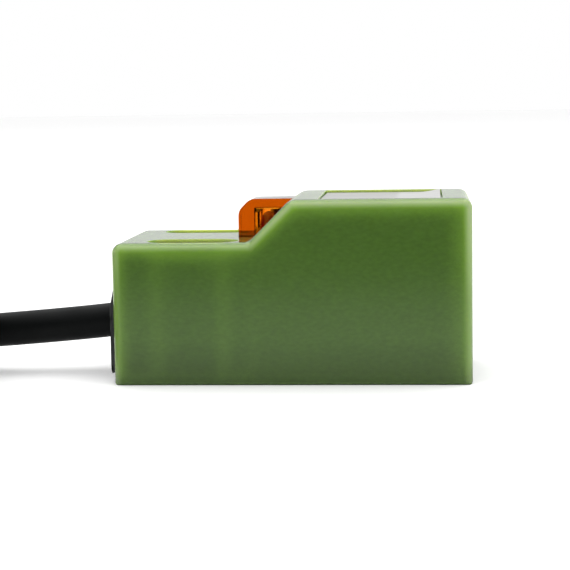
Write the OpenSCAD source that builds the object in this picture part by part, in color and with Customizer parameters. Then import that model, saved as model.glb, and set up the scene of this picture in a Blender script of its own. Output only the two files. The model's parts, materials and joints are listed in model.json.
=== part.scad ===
// Rectangular inductive proximity sensor with a flying three-core cable.
// X runs across the width, Y along the length with the sensing face at +Y, Z up.
// The origin is under the middle of the sensor, on the surface it stands on. Millimetres.

/* [Housing] */
// Length from the rear face to the sensing face
body_l = 35; // [34.5:0.5:37]
// Width across the two mounting slots
body_w = 18; // [18:0.5:20]
// Height at the sensing end
body_h = 18; // [17.8:0.1:18.6]
// Height of the rear deck that the mounting slots go through
deck_h = 13.9; // [13.5:0.1:14.2]
// Length of the rear deck, from the rear face to the foot of the slope
deck_l = 13.4; // [13.3:0.1:14]
// Length of the slope along the sensor
slope_l = 4.1; // [3.6:0.1:4.2]
// Thickness of the moulded walls
wall = 1.2; // [1:0.1:1.3]
// Rounding of the outer edges
edge_r = 1; // [0.4:0.1:1]

/* [Mounting slots] */
// Width of each slot, clearance for an M4 screw
slot_w = 4.2; // [3.6:0.1:4.3]
// Length of each slot from end to end
slot_l = 9; // [7:0.5:9]
// Distance between the two slots across the width
slot_pitch = 12; // [11.6:0.1:12.4]
// Distance from the rear face to the middle of a slot
slot_from_rear = 7.7; // [7.5:0.1:7.9]

/* [Indicator window] */
// Width of the window
lens_w = 4.2; // [4:0.1:4.6]
// Distance that the window stands in front of the foot of the slope
lens_reach = 1.6; // [1.5:0.05:1.9]
// Height of the top of the window
lens_top = 17.75; // [17.5:0.05:17.9]

/* [Rear plate] */
// Width of the black plate on the rear face
plate_w = 15.1; // [14.5:0.1:15.4]
// Height of the lower edge of the plate
plate_low = 0.7; // [0.6:0.1:0.9]
// Height of the upper edge of the plate
plate_high = 9.5; // [9.2:0.1:9.8]
// Distance that the plate stands out from the rear face
plate_t = 0.5; // [0.3:0.1:0.8]

/* [Cable] */
// Diameter of the cable jacket
cable_d = 3.5; // [3.4:0.05:3.6]
// Diameter of each core
core_d = 1.2; // [1:0.1:1.2]
// Length of the straight part of the tied hank
hank_straight = 37; // [30:1:40]
// Layers of cable in the hank
hank_layers = 4; // [3:1:4]
// Thickness of the tie round the hank
tie_t = 0.4; // [0.3:0.1:0.5]

/* [Hidden] */

$fn = 48;
far = 60;          // longer than any cut needs to be
gap = 0.05;        // assembly clearance between fitted pieces

// Places along the length
front_y = (body_l + plate_t) / 2;
rear_y = front_y - body_l;
foot_y = rear_y + deck_l;
crest_y = foot_y + slope_l;
slot_y = rear_y + slot_from_rear;
foot_r = 0.5;      // inner rounding at the foot of the slope
base_r = 0.3;      // rounding of the edges round the underside

// The T-shaped cavity: a narrow channel between the slots and a wide chamber
channel_half = 3;
chamber_half = body_w / 2 - wall;
channel_y0 = rear_y + 1.4;
chamber_y0 = slot_y + slot_l / 2 + 0.9;
chamber_y1 = front_y - 1;
slope_in = wall * tan(atan2(body_h - deck_h, slope_l) / 2);
rebate = 0.4;      // step that the base cover rests on

// The window and the lamp inside it
lens_y0 = foot_y - lens_reach;
lens_y1 = crest_y;
lens_roof = 0.95;
lens_cut = 1.2;    // slanted front corner, and the rounding where it meets the faces
lens_round = 1.3;
flange_z0 = 11.9;
led_y = -2.45;
led_r = 1.5;
led_flange_r = 1.9;
led_base = 10.9;
led_dome = 14.9;
led_pin_pitch = 1.27;

// The label and its recess
label_y0 = 2.65;
label_y1 = 15.05;
label_half = 7.6;
label_depth = 0.4;
label_t = 0.15;
label_side = 0.2;  // bare recess along each side of the label and at its front end
label_end = 0.5;

// The circuit board and what it carries
board_z = 8.6;
board_t = 0.8;
board_top = board_z + board_t;
board_y0 = -12;
board_y1 = 10.4;
tongue_half = 2.7;
lead_room = 2.75;
wide_half = 7.4;
pad_x = [-1.9, 0, 1.9];
pad_y = -6.4;
coil_pad_x = 6.5;
coil_pad_y = 9.2;
chip_x = -3.2;
chip_y = 4.8;
chip_w = 3.9;
chip_l = 4.9;
chip_h = 1.5;

// The coil assembly behind the sensing face
core_r = 7;
core_len = 5.4;
core_z = 9;
core_y1 = chamber_y1 - 0.2;
core_y0 = core_y1 - core_len;
core_back = 1.5;
core_rim = 0.9;
post_r = 2.9;
bobbin_y0 = core_y0 + core_back + gap;
bobbin_y1 = core_y1 - 0.1;
bobbin_in = post_r + gap;
bobbin_hub = post_r + 0.6;
bobbin_out = core_r - core_rim - gap;
cheek = 0.5;

// The cable
exit_z = 5.4;
sleeve_r = 2.8;
sleeve_y1 = -11.6;
inner_end_y = -11;
cable_r = cable_d / 2;
core_r_wire = core_d / 2;

// The hank: two lanes wide, wound outside first, its round ends centred on hank_x
lane = cable_d;
hank_bend = 3 * cable_d;
hank_x = hank_bend + lane - 4;
hank_near_y = -47;
hank_far_y = hank_near_y - hank_straight;
hank_out = hank_bend + lane + cable_r;
hank_in = hank_bend - cable_r;
hank_h = hank_layers * cable_d;
entry_y = -51;
tie_y = hank_near_y - hank_straight / 2;
tie_w = 3.2;
tie_side_x = hank_x - (hank_out + hank_in) / 2;
tie_in_w = hank_out - hank_in;

// Route of the free cable, from the rear plate down to the surface and into the hank
cord_route = [
    [0, -17.75, 5.4], [0, -18.5, 5.4], [0, -21, 5.14], [0, -25, 4.78], [-0.1, -29, 4.45],
    [-0.4, -33, 4.1], [-1, -36, 3.6], [-1.8, -39, 2.8], [-2.7, -42, 2.1], [-3.5, -45, 1.8],
    [-3.9, -48, 1.75], [-4, -51, 1.75]
];
// Route of the last of the jacket, inside the hank
jacket_end = [4.2, -84, 1.75];
tail_route = [[3.5, -78, 1.75], [4, -81, 1.75], [4.2, -83.4, 1.75], jacket_end];
// The three cores: each one's place in the jacket, its bend inside the hank and its length
core_x = [-0.9, 0, 0.9];
core_z_at = [-0.5, 0.6, -0.5];
core_bend = [7.6, 6.2, 4.8];
core_reach = [19, 20, 21];
tip_len = 5;
tip_r = 0.45;

// A piece of a ring of side points round one route point, square to the route there
function unit(v) = v / norm(v);
function step_of(p, i) =
    unit(p[min(i + 1, len(p) - 1)] - p[max(i - 1, 0)]);
function side_of(t) = unit(cross(t, abs(t.z) > 0.9 ? [1, 0, 0] : [0, 0, 1]));
function ring_at(p, i, r, n) =
    let (t = step_of(p, i), a = side_of(t), b = cross(a, t))
    [for (k = [0 : n - 1]) p[i] + r * (cos(360 * (k + 0.5) / n) * a + sin(360 * (k + 0.5) / n) * b)];

// A closed tube swept along route p, one polyhedron with n sides
module tube(p, d, n = 8) {
    m = len(p);
    points = [for (i = [0 : m - 1]) each ring_at(p, i, d / 2, n)];
    sides = [for (i = [0 : m - 2]) for (k = [0 : n - 1])
        [i * n + k, i * n + (k + 1) % n, (i + 1) * n + (k + 1) % n, (i + 1) * n + k]];
    start = [[for (k = [n - 1 : -1 : 0]) k]];
    end = [[for (k = [0 : n - 1]) (m - 1) * n + k]];
    polyhedron(points, concat(sides, start, end), convexity = 6);
}

// Corner i of an outline, replaced by points on the arc of radius r that fits it
function corner_arc(p, r, i) =
    let (
        here = p[i],
        a = unit(p[(i + len(p) - 1) % len(p)] - here),
        b = unit(p[(i + 1) % len(p)] - here),
        half = acos(a * b) / 2,
        centre = here + unit(a + b) * r / sin(half),
        from = here + a * r / tan(half) - centre,
        to = here + b * r / tan(half) - centre,
        turn = acos(min(1, max(-1, from * to / (r * r)))),
        way = from.x * to.y - from.y * to.x > 0 ? 1 : -1,
        steps = 6
    )
    r == 0 ? [here] : [for (k = [0 : steps])
        let (w = way * turn * k / steps)
        centre + [from.x * cos(w) - from.y * sin(w), from.x * sin(w) + from.y * cos(w)]];

// An outline with each corner rounded to its own radius
function rounded(p, r) = [for (i = [0 : len(p) - 1]) each corner_arc(p, r[i], i)];

function box_points(x0, y0, x1, y1) = [[x0, y0], [x1, y0], [x1, y1], [x0, y1]];

// An outline in Y and Z, extruded across X from -half to half
module across(half) {
    translate([-half, 0, 0])
        rotate([90, 0, 90])
            linear_extrude(2 * half) children();
}

// An outline in X and Z, extruded along Y
module along(y0, y1) {
    translate([0, y1, 0])
        rotate([90, 0, 0])
            linear_extrude(y1 - y0) children();
}

// A cylinder along Y
module rod_y(r, y0, y1) {
    translate([0, y0, 0])
        rotate([-90, 0, 0])
            cylinder(r = r, h = y1 - y0);
}

// A box between two corners
module block(low, high) {
    translate(low) cube(high - low);
}

module slot_outline() {
    reach = (slot_l - slot_w) / 2;
    for (way = [-1, 1]) translate([0, way * reach]) circle(d = slot_w);
    square([slot_w, 2 * reach], center = true);
}

module slots() {
    for (side = [-1, 1])
        translate([side * slot_pitch / 2, slot_y, -1])
            linear_extrude(deck_h + 2) slot_outline();
}

// The outside of the case: side view, plan and end view, each with its own rounding
module case_outside() {
    side_view = [
        [rear_y, 0], [front_y, 0], [front_y, body_h], [crest_y, body_h],
        [foot_y, deck_h], [rear_y, deck_h]
    ];
    side_radii = [base_r, base_r, edge_r, edge_r, foot_r, edge_r];
    half = body_w / 2;
    low_end = rounded(box_points(-half, 0, half, deck_h), [base_r, base_r, edge_r, edge_r]);
    high_end = rounded(box_points(-half, 0, half, body_h), [base_r, base_r, edge_r, edge_r]);
    plan = rounded(box_points(-half, rear_y, half, front_y), [edge_r, edge_r, edge_r, edge_r]);
    intersection() {
        across(half + 1) polygon(rounded(side_view, side_radii));
        linear_extrude(body_h + 1) polygon(plan);
        union() {
            along(rear_y - 1, front_y + 1) polygon(low_end);
            along(foot_y, front_y + 1) polygon(high_end);
        }
    }
}

// The inside of the case, from the base cover up to the roof
module cavity(low = wall) {
    roof = [
        [channel_y0, low], [chamber_y1, low], [chamber_y1, body_h - wall],
        [crest_y + slope_in, body_h - wall], [foot_y + slope_in, deck_h - wall],
        [channel_y0, deck_h - wall]
    ];
    intersection() {
        across(body_w) polygon(roof);
        union() {
            block([-channel_half, channel_y0, low], [channel_half, chamber_y0 + 1, body_h]);
            block([-chamber_half, chamber_y0, low], [chamber_half, chamber_y1, body_h]);
        }
    }
}

// The T-shaped plan of the base cover, shrunk by the clearance
module base_plan(clear) {
    grow = rebate - clear;
    y0 = channel_y0 - grow;
    step_y = chamber_y0 - grow;
    y1 = chamber_y1 + grow;
    translate([-channel_half - grow, y0]) square([2 * (channel_half + grow), y1 - y0]);
    translate([-chamber_half - grow, step_y]) square([2 * (chamber_half + grow), y1 - step_y]);
}

module plate_outline(grow) {
    half = plate_w / 2 - grow;
    low = plate_low + grow;
    high = plate_high - grow;
    polygon(rounded(box_points(-half, low, half, high), [0.4, 0.4, 1.2, 1.2]));
}

module housing() {
    color("#567040")
        difference() {
            case_outside();
            cavity(low = wall - gap);
            translate([0, 0, -1]) linear_extrude(wall + 1) base_plan(0);
            along(rear_y - 1, channel_y0 + gap) plate_outline(0.6);
            slots();
            block([-lens_w / 2 - gap, lens_y0 - gap, flange_z0],
                  [lens_w / 2 + gap, lens_y1 + gap, body_h + 1]);
            block([-label_half, label_y0, body_h - label_depth],
                  [label_half, label_y1, body_h + 1]);
        }
}

module base_cover() {
    color("#1b1c1d")
        translate([0, 0, 0.1]) linear_extrude(wall - 0.1) base_plan(gap);
}

module rear_plate() {
    color("#161718")
        difference() {
            union() {
                along(rear_y - plate_t, rear_y) plate_outline(0);
                along(rear_y, channel_y0) plate_outline(0.6 + gap);
            }
            translate([0, 0, exit_z]) rod_y(cable_r, rear_y - 2, channel_y0 + 1);
        }
}

// The window: a block bored for the lamp, on a flange that holds it under the deck
module indicator_lens() {
    outline = rounded([[lens_y0, flange_z0], [lens_y1, flange_z0], [lens_y1, lens_top],
                       [lens_y0 + lens_cut, lens_top], [lens_y0, lens_top - lens_cut]],
                      [0, 0, 0, lens_round, lens_round]);
    flange = [2.7, 0.9];
    color("#c05a08")
        difference() {
            union() {
                across(lens_w / 2) polygon(outline);
                block([-flange.x, lens_y0 - flange.y, flange_z0],
                      [flange.x, flange.y, deck_h - wall]);
            }
            translate([0, led_y, flange_z0 - 1])
                cylinder(r = led_r + gap, h = lens_top - lens_roof - flange_z0 + 1);
        }
}

module rating_label() {
    outline = rounded(box_points(-label_half + label_side, label_y0 + gap,
                                 label_half - label_side, label_y1 - label_end),
                      [0.5, 0.5, 0.5, 0.5]);
    color("#dcdcd8")
        translate([0, 0, body_h - label_depth])
            linear_extrude(label_t) polygon(outline);
}

module status_led() {
    color("#7c1512")
        translate([0, led_y, 0])
            rotate_extrude() {
                translate([0, led_base]) square([led_flange_r, flange_z0 - led_base]);
                translate([0, led_base]) square([led_r, led_dome - led_base]);
                intersection() {
                    translate([0, led_dome]) circle(r = led_r);
                    translate([0, led_dome]) square(led_r);
                }
            }
}

module led_leads() {
    w = 0.5;
    color("#c9cacb")
        for (side = [-1, 1])
            translate([side * led_pin_pitch, led_y, (led_base + board_z) / 2])
                cube([w, w, led_base - board_z], center = true);
}

module circuit_board() {
    color("#2d5a3a")
        difference() {
            union() {
                block([-tongue_half, board_y0, board_z], [tongue_half, chamber_y0 + 1, board_top]);
                block([-wide_half, chamber_y0 + 0.3, board_z], [wide_half, board_y1, board_top]);
            }
            for (side = [-1, 1])
                translate([side * led_pin_pitch, led_y, board_z + board_t / 2])
                    cube([0.5, 0.5, 2], center = true);
        }
}

// Rounded joints where the cores and the coil ends meet the board
module solder_joints() {
    h = 0.3;
    color("#b8bbbf") {
        for (x = pad_x)
            translate([x, pad_y, board_top]) cylinder(d1 = 1.5, d2 = 0.7, h = h);
        for (side = [-1, 1])
            translate([side * coil_pad_x, coil_pad_y, board_top]) cylinder(d1 = 1.4, d2 = 0.6, h = h);
    }
}

module oscillator_chip() {
    color("#202124")
        translate([chip_x - chip_w / 2, chip_y - chip_l / 2, board_top + 0.1])
            cube([chip_w, chip_l, chip_h - 0.1]);
}

// Four pins on each long side, from the chip down to the board
module chip_pins() {
    pin_w = 0.4;
    pin_l = 1;
    color("#c6c8cb")
        for (side = [-1, 1])
            for (i = [-1.5 : 1 : 1.5])
                translate([chip_x + side * (chip_w / 2 + pin_l / 2), chip_y + 1.27 * i,
                           board_top + 0.35])
                    cube([pin_l, pin_w, 0.7], center = true);
}

module output_transistor() {
    color("#232427")
        block([2.2, 1.4, board_top], [6.7, 3.9, board_top + 1.5]);
}

module zener_diode() {
    r = 0.7;
    color("#a8523a")
        translate([2.6, 6.2, board_top + r])
            rotate([0, 90, 0]) cylinder(r = r, h = 3.5);
}

module polarity_diode() {
    r = 1.2;
    color("#1d1e20")
        translate([-5.4, 0, board_z - r])
            rod_y(r, 0, 5);
}

// Small parts of one size, side by side on the top of the board
module chip_row(places, size) {
    for (p = places)
        translate([p.x - size.x / 2, p.y - size.y / 2, board_top]) cube(size);
}

module chip_resistors() {
    color("#1c1d1f")
        chip_row([for (i = [0 : 4]) [-5.2 + 2.6 * i, -1.2 + (i == 2 ? -1.6 : 0)]], [1.6, 3.0, 0.55]);
}

module chip_capacitors() {
    color("#b79a72")
        chip_row([for (i = [0 : 2]) [0.2 + 2.2 * i, 8.2]], [1.6, 2.4, 1.1]);
}

module tuning_capacitor() {
    color("#9c3a24")
        block([1.4, 6.4, 2.2], [6.4, 9, board_z]);
}

module smoothing_capacitor() {
    r = 2.4;
    color("#26344c")
        translate([0.8, 3, board_z - r])
            rotate([0, 90, 0]) cylinder(r = r, h = 6.2);
}

// Half pot core: a cup with a middle post, open towards the sensing face
module ferrite_core() {
    color("#33363a")
        translate([0, 0, core_z])
            difference() {
                rod_y(core_r, core_y0, core_y1);
                difference() {
                    rod_y(core_r - core_rim, core_y0 + core_back, core_y1 + 1);
                    rod_y(post_r, core_y0, core_y1 + 2);
                }
                block([-1.5, core_y0 - 1, -core_r - 1], [1.5, core_y0 + core_back + 0.5, -4.6]);
            }
}

module coil_bobbin() {
    color("#e3dfd2")
        translate([0, 0, core_z])
            difference() {
                union() {
                    rod_y(bobbin_hub, bobbin_y0, bobbin_y1);
                    rod_y(bobbin_out, bobbin_y0, bobbin_y0 + cheek);
                    rod_y(bobbin_out, bobbin_y1 - cheek, bobbin_y1);
                }
                rod_y(bobbin_in, bobbin_y0 - 1, bobbin_y1 + 1);
            }
}

module coil_winding() {
    color("#a85a28")
        translate([0, 0, core_z])
            difference() {
                rod_y(bobbin_out - 0.3, bobbin_y0 + cheek, bobbin_y1 - cheek);
                rod_y(bobbin_hub, bobbin_y0, bobbin_y1);
            }
}

// The two ends of the winding, down through the notch and up to the board
module coil_leads() {
    low = core_z - core_r + 0.9;
    color("#b4632c")
        for (side = [-1, 1])
            tube([[side * 0.7, core_y0 + core_back - 0.3, low], [side * 0.8, core_y0 - 0.3, low],
                  [side * 2, core_y0 - 0.5, 5],
                  [side * coil_pad_x, core_y0 - 0.45, board_z - 0.3],
                  [side * coil_pad_x, coil_pad_y, board_z - 0.16]], 0.3);
}

module cable_sleeve() {
    color("#2a2b2d")
        translate([0, 0, exit_z])
            difference() {
                rod_y(sleeve_r, channel_y0, sleeve_y1);
                rod_y(cable_r, channel_y0 - 1, sleeve_y1 + 1);
            }
}

module cable_inner_end() {
    color("#18191b")
        translate([0, 0, exit_z]) rod_y(cable_r, rear_y - plate_t, inner_end_y);
}

// One core inside the case, from the end of the jacket up under the board
module inner_lead(i) {
    x = core_x[i];
    z = exit_z + [-0.5, 0.95, -0.5][i];
    top = board_z - core_r_wire - 0.02;
    tube([[x, inner_end_y, z], [x, inner_end_y + 0.6, z],
          [(x + pad_x[i]) / 2, inner_end_y + 2, (z + top) / 2],
          [pad_x[i], inner_end_y + 3.4, top - 0.1], [pad_x[i], pad_y + 0.6, top]], core_d);
}

module inner_lead_brown() {
    color("#6b3e24") inner_lead(0);
}

module inner_lead_blue() {
    color("#2a55a8") inner_lead(1);
}

module inner_lead_black() {
    color("#17181a") inner_lead(2);
}

// Resin that fills the case behind the coil, with room for the board, the lamp and the leads
module potting_compound() {
    color("#2b2620")
        difference() {
            cavity();
            block([-chamber_half - 1, core_y0 - 0.9, 0], [chamber_half + 1, far, body_h]);
            block([-channel_half - 1, -far, 0], [channel_half + 1, sleeve_y1, body_h]);
            block([-lead_room, inner_end_y - 1, exit_z - cable_r],
                  [lead_room, pad_y + 0.7, board_z + 0.01]);
            block([-coil_pad_x - 0.3, coil_pad_y - 0.3, 4.4],
                  [coil_pad_x + 0.3, core_y0, board_z + 0.01]);
            block([-wide_half, board_y0, board_z], [wide_half, board_y1, board_top + 1.8]);
            block([-lead_room, lens_y0 - 1, led_base], [lead_room, 1, body_h]);
            block([-lead_room, led_y - 2, board_top], [lead_room, led_y + 2, led_base + 0.01]);
            block([-6.7, -0.1, 2], [7.1, 9.1, board_z + 0.01]);
        }
}

module cable_run() {
    color("#18191b") tube(cord_route, cable_d);
}

// Outline of the hank at a given reach from its middle line
module hank_outline(reach) {
    for (y = [hank_near_y, hank_far_y]) translate([hank_x, y]) circle(reach, $fn = 96);
    translate([hank_x - reach, hank_far_y]) square([2 * reach, hank_straight]);
}

module tie_band(grow, height) {
    half = tie_in_w / 2 + grow;
    translate([tie_side_x - half, tie_y - tie_w / 2, 0])
        cube([2 * half, tie_w, height]);
}

// Room in the bottom layer for the incoming cable, a box for each stretch of its route
module entry_channel() {
    room = cable_r + gap;
    for (i = [4 : len(cord_route) - 2]) {
        a = cord_route[i];
        b = cord_route[i + 1];
        block([-far, b.y, -1], [max(a.x, b.x) + room, a.y + gap, max(a.z, b.z) + room]);
    }
}

module cable_hank() {
    color("#18191b")
        difference() {
            linear_extrude(hank_h)
                difference() {
                    hank_outline(hank_out);
                    hank_outline(hank_in);
                }
            entry_channel();
            difference() {
                tie_band(tie_t + 1, hank_h + 1);
                translate([0, 0, tie_t]) tie_band(0, hank_h + 2);
            }
        }
}

module hank_tie() {
    color("#e9e9e6") {
        difference() {
            tie_band(tie_t, hank_h + tie_t);
            translate([tie_side_x - tie_in_w / 2, tie_y - tie_w, tie_t])
                cube([tie_in_w, 2 * tie_w, hank_h - tie_t]);
        }
        translate([tie_side_x, tie_y, hank_h + tie_t - 0.1])
            cylinder(r = 0.9, h = 1.6);
    }
}

module cable_tail() {
    color("#18191b") tube(tail_route, cable_d);
}

// A core that lies in the hank, round its far end at its own radius from the middle
module tail(i) {
    reach = core_bend[i];
    start_x = jacket_end.x + core_x[i];
    start_z = jacket_end.z + core_z_at[i];
    z = core_r_wire;
    y = hank_far_y;
    tip_y = y + core_reach[i];
    route = concat(
        [[start_x, jacket_end.y, start_z], [start_x, jacket_end.y - 0.4, start_z]],
        [for (a = [195 : 15 : 345]) [hank_x + reach * cos(a), y + reach * sin(a) - 0.8, z]],
        [[hank_x + reach, tip_y - 10, z], [hank_x + reach, tip_y, z]]
    );
    tube(route, core_d);
}

module tail_brown() {
    color("#6b3e24") tail(0);
}

module tail_blue() {
    color("#2a55a8") tail(1);
}

module tail_black() {
    color("#17181a") tail(2);
}

module tinned_tips() {
    color("#c4c6c9")
        for (i = [0 : 2])
            translate([hank_x + core_bend[i], hank_far_y + core_reach[i], core_r_wire])
                rod_y(tip_r, 0, tip_len);
}

housing();
base_cover();
rear_plate();
indicator_lens();
rating_label();
status_led();
led_leads();
circuit_board();
solder_joints();
oscillator_chip();
chip_pins();
output_transistor();
zener_diode();
polarity_diode();
chip_resistors();
chip_capacitors();
tuning_capacitor();
smoothing_capacitor();
ferrite_core();
coil_bobbin();
coil_winding();
coil_leads();
cable_sleeve();
cable_inner_end();
inner_lead_brown();
inner_lead_blue();
inner_lead_black();
potting_compound();
cable_run();
cable_hank();
hank_tie();
cable_tail();
tail_brown();
tail_blue();
tail_black();
tinned_tips();
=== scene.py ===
import bpy
import bmesh
import json
import math
from mathutils import Matrix, Vector, noise


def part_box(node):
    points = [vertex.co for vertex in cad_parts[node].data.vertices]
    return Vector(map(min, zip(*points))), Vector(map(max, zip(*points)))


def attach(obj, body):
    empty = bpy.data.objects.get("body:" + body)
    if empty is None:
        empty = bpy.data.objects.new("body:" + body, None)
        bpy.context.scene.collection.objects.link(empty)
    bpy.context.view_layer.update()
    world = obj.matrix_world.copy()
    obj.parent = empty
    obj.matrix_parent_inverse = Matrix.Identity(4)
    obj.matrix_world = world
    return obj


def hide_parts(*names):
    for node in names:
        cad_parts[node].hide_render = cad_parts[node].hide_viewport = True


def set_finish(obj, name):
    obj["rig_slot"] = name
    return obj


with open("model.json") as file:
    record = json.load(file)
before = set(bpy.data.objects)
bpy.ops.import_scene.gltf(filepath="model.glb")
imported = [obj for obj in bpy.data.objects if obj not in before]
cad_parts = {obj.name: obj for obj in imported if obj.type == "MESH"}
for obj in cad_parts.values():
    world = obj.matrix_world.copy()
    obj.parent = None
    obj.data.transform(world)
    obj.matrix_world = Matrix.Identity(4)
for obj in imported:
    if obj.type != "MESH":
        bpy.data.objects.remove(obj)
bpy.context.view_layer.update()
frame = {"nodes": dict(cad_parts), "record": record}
NODES = frame["nodes"]

# Lengths below are in millimetres, and MM turns them into the metres of the frame.
MM = 0.001
ROOT = "root"


# ---------------------------------------------------------------- places from the frame

def box_mm(node):
    """Lowest and highest corner of a CAD node, in millimetres."""
    low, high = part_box(node)
    return low / MM, high / MM


CASE_LOW, CASE_HIGH = box_mm("housing")
PLATE_LOW, PLATE_HIGH = box_mm("rear_plate")
COVER_LOW, COVER_HIGH = box_mm("base_cover")
LENS_LOW, LENS_HIGH = box_mm("indicator_lens")
LABEL_LOW, LABEL_HIGH = box_mm("rating_label")
LED_LOW, LED_HIGH = box_mm("status_led")
HANK_LOW, HANK_HIGH = box_mm("cable_hank")
TIE_LOW, TIE_HIGH = box_mm("hank_tie")

# The case: a low deck at the rear, a slope, and the full height behind the sensing face
REAR_Y, FRONT_Y = CASE_LOW.y, CASE_HIGH.y
HALF_W = CASE_HIGH.x
TOP_Z = CASE_HIGH.z
DECK_Z = 13.9
FOOT_Y = REAR_Y + 13.4
CREST_Y = FOOT_Y + 4.1
WALL = 1.2
EDGE_R = 1.0
BASE_R = 0.3

# The cavity: the chamber for board and coil, and the channel behind it for the cable
CHAMBER_REAR_Y = -4.15
CHAMBER_FRONT_Y = 16.75
CHANNEL_REAR_Y = -15.85
CHANNEL_HALF = 3
REBATE = 0.4            # how much wider the bottom is cut, for the cover

SLOT_X = 6.0
SLOT_Y = REAR_Y + 7.7
SLOT_HALF_W = 2.1
SLOT_HALF_L = 4.5
SLOT_RIM = 0.06

# The window
LENS_HALF = 2.1
LENS_Y0 = FOOT_Y - 1.6
LENS_Y1 = CREST_Y
LENS_TOP = 17.75
LENS_CUT = 1.2
LENS_ROUND = 1.3
LENS_ROOF = 0.95
LAMP_R = 1.5
LAMP_Y = (LED_LOW.y + LED_HIGH.y) / 2

LABEL_SHIFT = 0.22      # the film lies this much nearer the sensing face than the CAD label
FIT = 0.05              # clearance round the window and the lamp

# The cable and its hank
CABLE_D = 3.5
CABLE_R = CABLE_D / 2
CORE_D = 1.2
EXIT_Z = 5.4
HANK_LAYERS = 4
HANK_BEND = 3 * CABLE_D
HANK_X = HANK_HIGH.x - HANK_BEND - 1.5 * CABLE_D
HANK_OUTER = HANK_BEND + CABLE_D
HANK_NEAR_Y = HANK_HIGH.y - HANK_OUTER - CABLE_R
HANK_FAR_Y = HANK_LOW.y + HANK_OUTER + CABLE_R


# ---------------------------------------------------------------- camera

CAMERA_AT = Vector((169.377, 13.099, 27.659))
CAMERA_YAW = -0.0832
CAMERA_PITCH = 0.11046
CAMERA_ROLL = -0.0153
CAMERA_LENS = 106.1


def make_camera():
    """The camera looks along -X, a little down, from the side of the sensor."""
    data = bpy.data.cameras.new("camera")
    data.lens = CAMERA_LENS
    data.sensor_width = 36
    data.clip_start = 0.01
    data.clip_end = 20
    cam = bpy.data.objects.new("camera", data)
    bpy.context.scene.collection.objects.link(cam)
    flat = math.cos(CAMERA_PITCH)
    ahead = Vector((-math.cos(CAMERA_YAW) * flat, math.sin(CAMERA_YAW) * flat,
                    -math.sin(CAMERA_PITCH)))
    level = Vector((math.sin(CAMERA_YAW), math.cos(CAMERA_YAW), 0))
    above = level.cross(ahead)
    right = level * math.cos(CAMERA_ROLL) + above * math.sin(CAMERA_ROLL)
    up = above * math.cos(CAMERA_ROLL) - level * math.sin(CAMERA_ROLL)
    turn = Matrix((right, up, -ahead)).transposed().to_4x4()
    cam.matrix_world = Matrix.Translation(CAMERA_AT * MM) @ turn
    bpy.context.scene.camera = cam


make_camera()


# ---------------------------------------------------------------- mesh helpers

def link(name, mesh):
    """A new object in the scene for a mesh."""
    obj = bpy.data.objects.new(name, mesh)
    bpy.context.scene.collection.objects.link(obj)
    return obj


def mesh_object(name, verts, faces):
    """A new object from points in millimetres."""
    mesh = bpy.data.meshes.new(name)
    mesh.from_pydata([Vector(v) * MM for v in verts], [], faces)
    mesh.validate()
    bm = bmesh.new()
    bm.from_mesh(mesh)
    bmesh.ops.remove_doubles(bm, verts=bm.verts, dist=1e-8)
    bmesh.ops.recalc_face_normals(bm, faces=bm.faces)
    bm.to_mesh(mesh)
    bm.free()
    return link(name, mesh)


def loft(name, loops, ends=True):
    """A skin over loops that have equally many points, closed by a face at each end."""
    n = len(loops[0])
    verts = [p for loop in loops for p in loop]
    faces = [(i * n + k, i * n + (k + 1) % n, (i + 1) * n + (k + 1) % n, (i + 1) * n + k)
             for i in range(len(loops) - 1) for k in range(n)]
    if ends:
        faces.append(tuple(range(n - 1, -1, -1)))
        faces.append(tuple((len(loops) - 1) * n + k for k in range(n)))
    return mesh_object(name, verts, faces)


def round_rect(half_x, half_y, r, n=8):
    """Outline of a rectangle with round corners, as (x, y) about its middle."""
    points = []
    for i, (sx, sy) in enumerate([(1, 1), (-1, 1), (-1, -1), (1, -1)]):
        for k in range(n + 1):
            a = math.pi / 2 * (i + k / n)
            points.append((sx * (half_x - r) + r * math.cos(a),
                           sy * (half_y - r) + r * math.sin(a)))
    return points


def prism(name, outline, half):
    """An outline of (y, z) pushed out across X from -half to half."""
    loops = [[(x, y, z) for y, z in outline] for x in (-half, half)]
    return loft(name, loops)


def block(name, low, high):
    """A box between two corners, in millimetres."""
    outline = [(low[1], low[2]), (high[1], low[2]), (high[1], high[2]), (low[1], high[2])]
    loops = [[(x, y, z) for y, z in outline] for x in (low[0], high[0])]
    return loft(name, loops)


def opening(name, centre, half_x, half_y, r, z0, z1, rims=(0, 0), past=(1, 1), steps=6):
    """A cutter along Z from z0 to z1 whose rims open out by a quarter round."""
    quarter = [math.pi / 2 * k / steps for k in range(steps + 1)]
    stages = []
    if past[0]:
        stages.append((z0 - past[0], rims[0]))
    stages += [(z0 + rims[0] * (1 - math.cos(a)), rims[0] * (1 - math.sin(a)))
               for a in (quarter if rims[0] else [0])]
    stages += [(z1 - rims[1] * (1 - math.cos(a)), rims[1] * (1 - math.sin(a)))
               for a in (quarter[::-1] if rims[1] else [0])]
    if past[1]:
        stages.append((z1 + past[1], rims[1]))
    loops = []
    for z, grow in stages:
        outline = round_rect(half_x + grow, half_y + grow, r + grow)
        loops.append([(centre[0] + x, centre[1] + y, z) for x, y in outline])
    return loft(name, loops)


def apply_modifiers(obj):
    """Turns what the modifiers make into the object's own mesh."""
    graph = bpy.context.evaluated_depsgraph_get()
    made = bpy.data.meshes.new_from_object(obj.evaluated_get(graph))
    obj.modifiers.clear()
    old = obj.data
    obj.data = made
    bpy.data.meshes.remove(old)
    return obj


def combine(obj, others, operation="DIFFERENCE"):
    """Cuts the others out of obj, or joins them to it, and deletes them."""
    for other in others:
        mod = obj.modifiers.new("cut", "BOOLEAN")
        mod.operation = operation
        mod.solver = "EXACT"
        mod.object = other
        apply_modifiers(obj)
        bpy.data.objects.remove(other)
    return obj


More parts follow.
